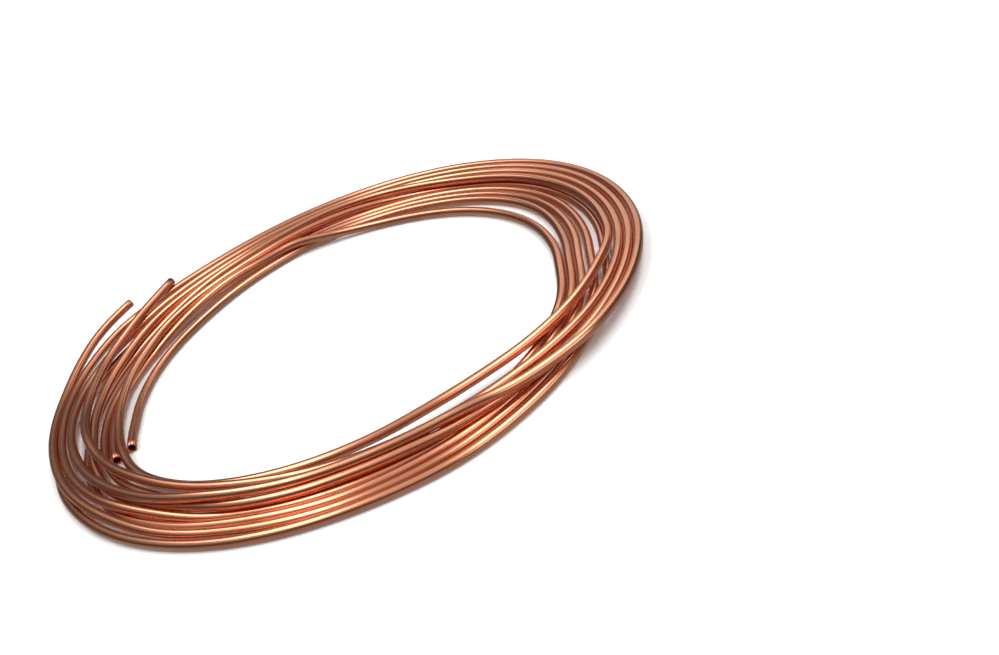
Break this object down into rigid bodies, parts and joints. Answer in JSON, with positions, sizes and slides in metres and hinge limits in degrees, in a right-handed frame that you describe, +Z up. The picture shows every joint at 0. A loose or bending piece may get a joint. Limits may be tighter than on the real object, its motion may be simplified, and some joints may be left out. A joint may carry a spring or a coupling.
{
  "type": "copper tube coil",
  "caption": "Loose coil of soft copper tube: two flat wound rings, one lying on the other off its centre, with cut tube ends standing free.",
  "frame": {"origin": "on the floor under the middle of the coil's outline", "axes": "+Z up along the coil's axis, +X to the right and +Y away from the camera in the picture"},
  "size_m": [0.42, 0.4068, 0.0175],
  "materials": {
    "copper": "bright drawn copper, lightly handled, with a faint brown tarnish"
  },
  "bodies": {
    "root": {"lower_tube_coil": "copper", "upper_tube_coil": "copper"}
  },
  "joints": []
}
